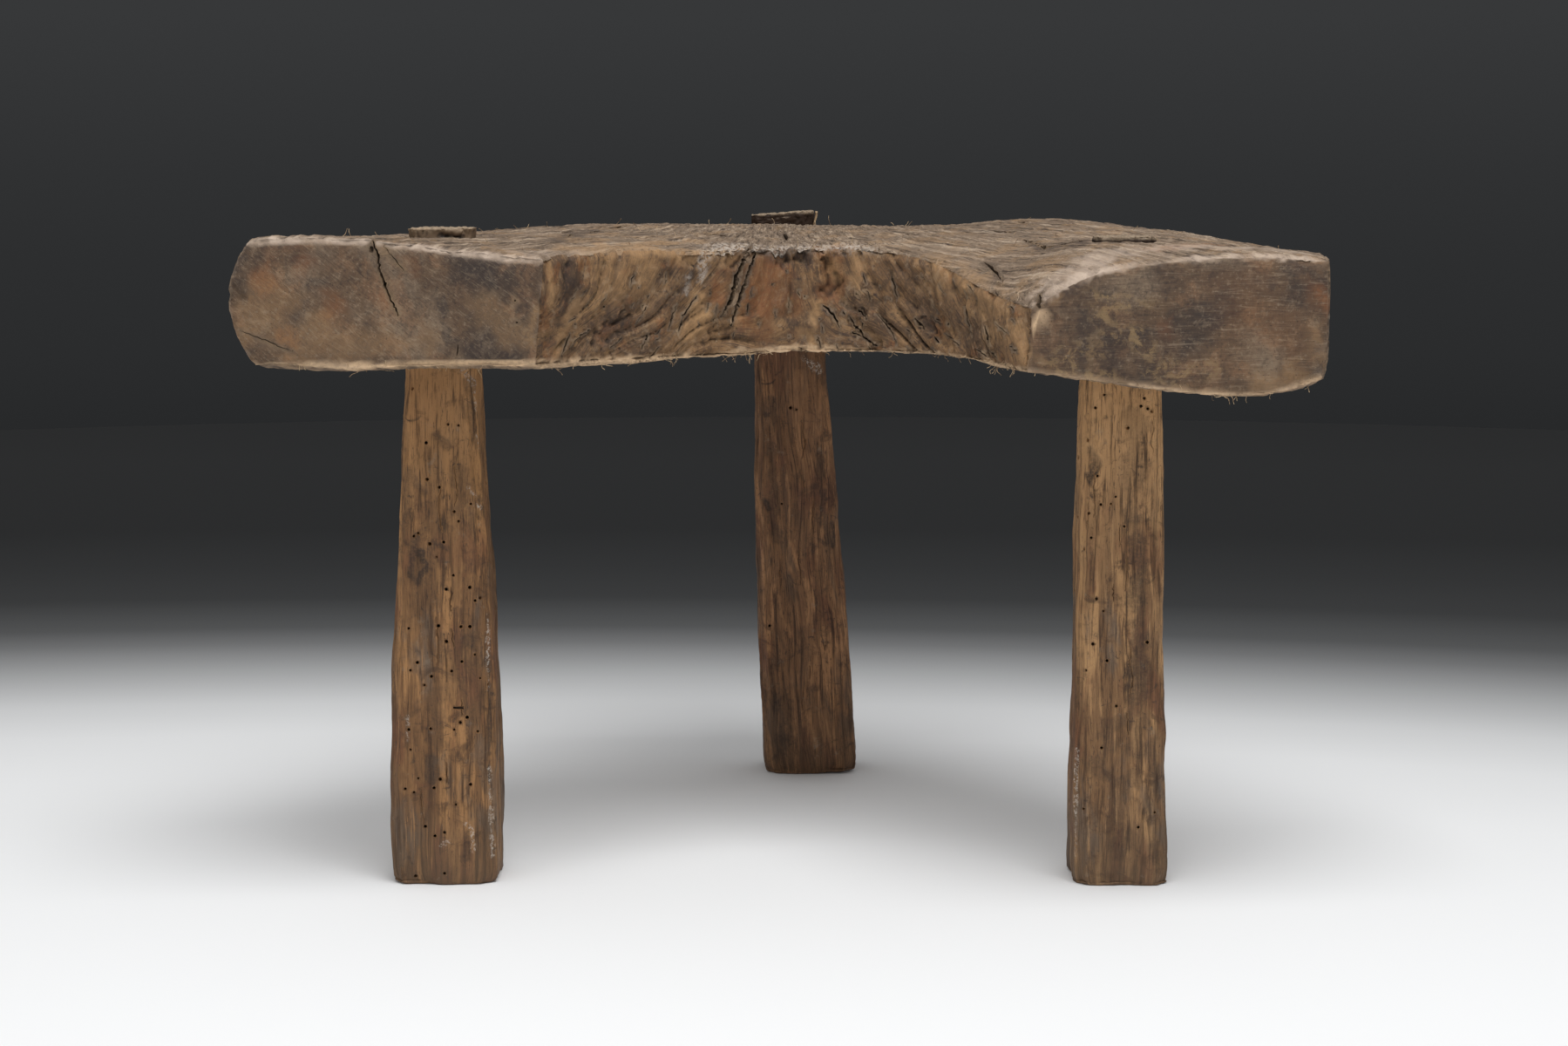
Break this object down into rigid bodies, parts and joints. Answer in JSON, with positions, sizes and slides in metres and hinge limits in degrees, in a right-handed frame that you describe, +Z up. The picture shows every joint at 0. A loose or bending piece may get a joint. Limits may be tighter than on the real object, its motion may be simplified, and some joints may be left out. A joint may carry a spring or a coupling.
{
  "type": "three-legged stool",
  "caption": "Low rustic stool: a thick forked slab of weathered wood on tapered hewn legs whose through tenons show on top.",
  "frame": {"origin": "middle of the bounding box on the floor", "axes": "+X across the fork to the right as seen from its open side, +Y from the sawn prong ends to the stem, +Z up"},
  "size_m": [0.6012, 0.4432, 0.381],
  "materials": {
    "weathered_slab": "weathered, unfinished hardwood: grey-brown sawn ends, pale worn arrises, cracks and torn fibres",
    "worm_eaten_post": "hewn and hand-worn golden brown hardwood with worm holes, satin from use",
    "dark_post": "hewn red-brown hardwood with wavy grain, satin from use",
    "pale_sliver": "split, unfinished pale wood"
  },
  "bodies": {
    "root": {"seat": "weathered_slab", "front_left_leg": "worm_eaten_post", "front_right_leg": "worm_eaten_post", "rear_leg": "dark_post", "rear_tenon_wedge": "pale_sliver"}
  },
  "joints": []
}
